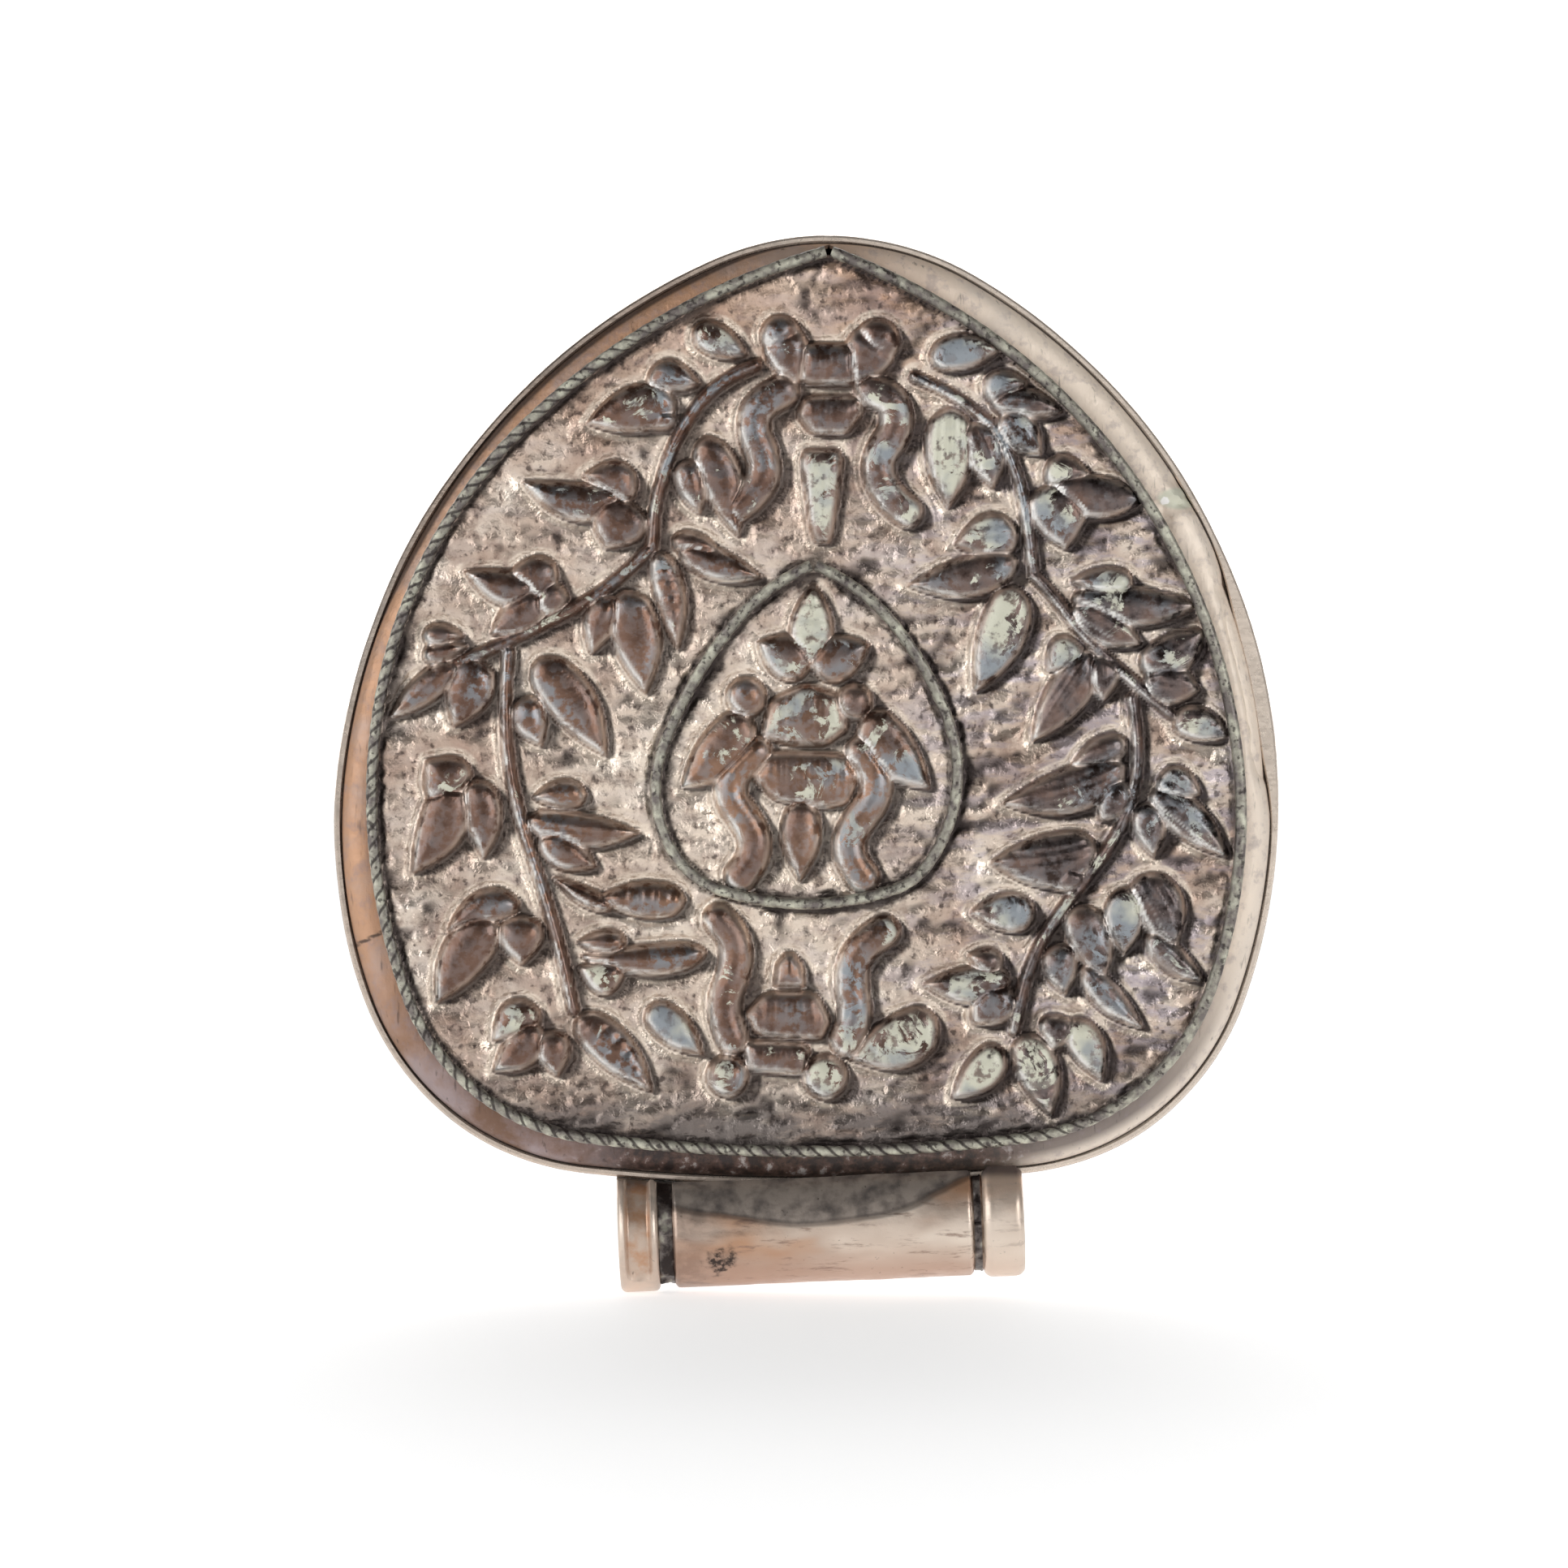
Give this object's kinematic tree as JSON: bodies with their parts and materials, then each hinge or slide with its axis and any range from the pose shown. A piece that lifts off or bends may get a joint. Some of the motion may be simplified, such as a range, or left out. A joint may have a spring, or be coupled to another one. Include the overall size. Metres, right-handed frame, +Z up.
{
  "type": "ghau amulet box",
  "caption": "Pear-shaped metal amulet box with a repousse foliage front, twisted-wire borders, a cord tube below and a friction-fit back cover that pulls off.",
  "frame": {"origin": "middle of the box's footprint, on the surface under the cord tube", "axes": "+Z up from the cord tube to the point, +Y from the ornamented front to the back cover, +X right"},
  "size_m": [0.0806, 0.0204, 0.0901],
  "materials": {
    "panel_silver": "chased and repousse sheet, brown in the hollows and grey on the crests",
    "flange_silver": "smooth rolled sheet, worn, warm tarnish",
    "wall_silver": "plain sheet band, worn",
    "wire_silver": "twisted wire, grey tarnish with dark hollows",
    "tube_silver": "burnished sheet tube, dented",
    "cover_silver": "plain sheet, scratched"
  },
  "bodies": {
    "front_box": {"front_wall": "wall_silver", "front_bezel": "flange_silver", "repousse_panel": "panel_silver", "border_wire": "wire_silver", "medallion_wire": "wire_silver", "bail_core": "tube_silver", "bail_barrel": "tube_silver", "bail_collar_left": "tube_silver", "bail_collar_right": "tube_silver"},
    "back_cover": {"back_plate": "cover_silver", "back_rim": "cover_silver", "back_sleeve": "cover_silver"}
  },
  "joints": [
    {"name": "back_cover_slide", "type": "slide", "parent": "front_box", "child": "back_cover", "axis": [0, 1, 0], "range_m": [0, 0.02]}
  ]
}
